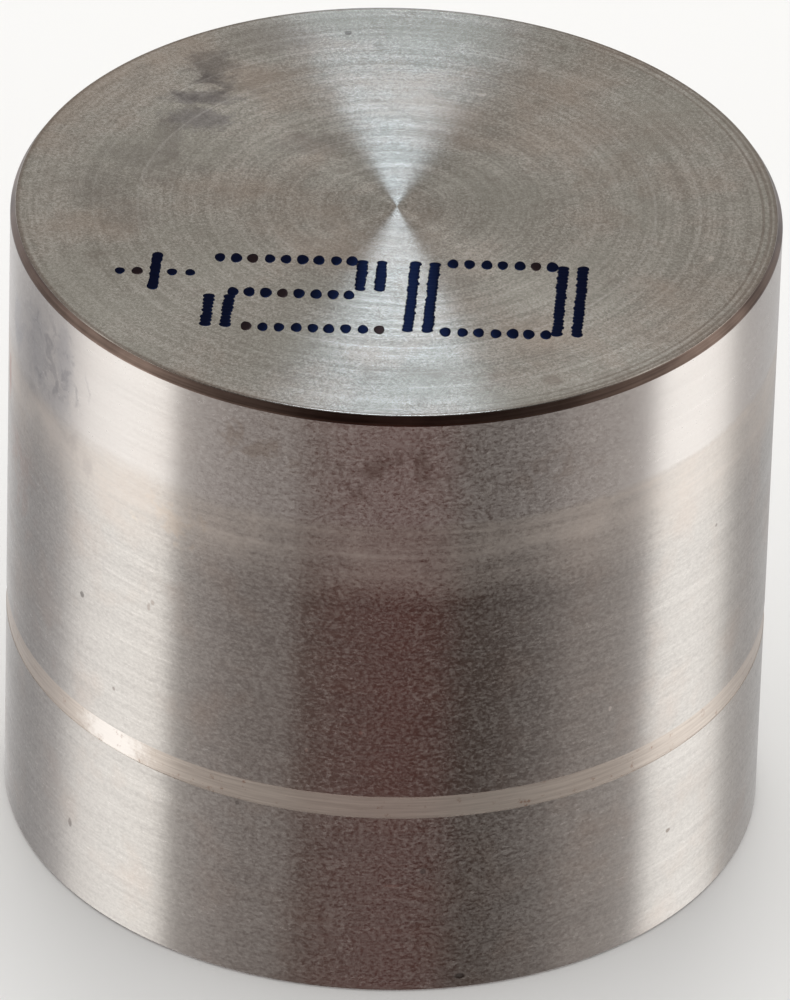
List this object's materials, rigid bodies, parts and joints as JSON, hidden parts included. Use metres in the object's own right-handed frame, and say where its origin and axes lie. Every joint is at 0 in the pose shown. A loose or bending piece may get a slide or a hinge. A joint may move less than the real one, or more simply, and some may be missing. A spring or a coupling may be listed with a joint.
{
  "type": "valve lifter",
  "caption": "Steel valve lifter of the plain bucket kind: a thin round skirt closed by a flat crown, with a pad inside for the tip of the valve stem.",
  "frame": {"origin": "centre of the open rim, on the plane that the rim stands on", "axes": "+Z along the axis that the lifter slides on, from the open rim to the closed crown. The lifter is round, so X and Y are free; the marking on the crown reads from -Y"},
  "size_m": [0.031, 0.031, 0.0276],
  "materials": {
    "ground_steel": "turned crown and cylindrically ground skirt, a little stained and worn, with no coating",
    "marking_ink": "dark blue ink jet dots, dried on the steel"
  },
  "bodies": {
    "root": {"lifter_body": "ground_steel"}
  },
  "joints": []
}
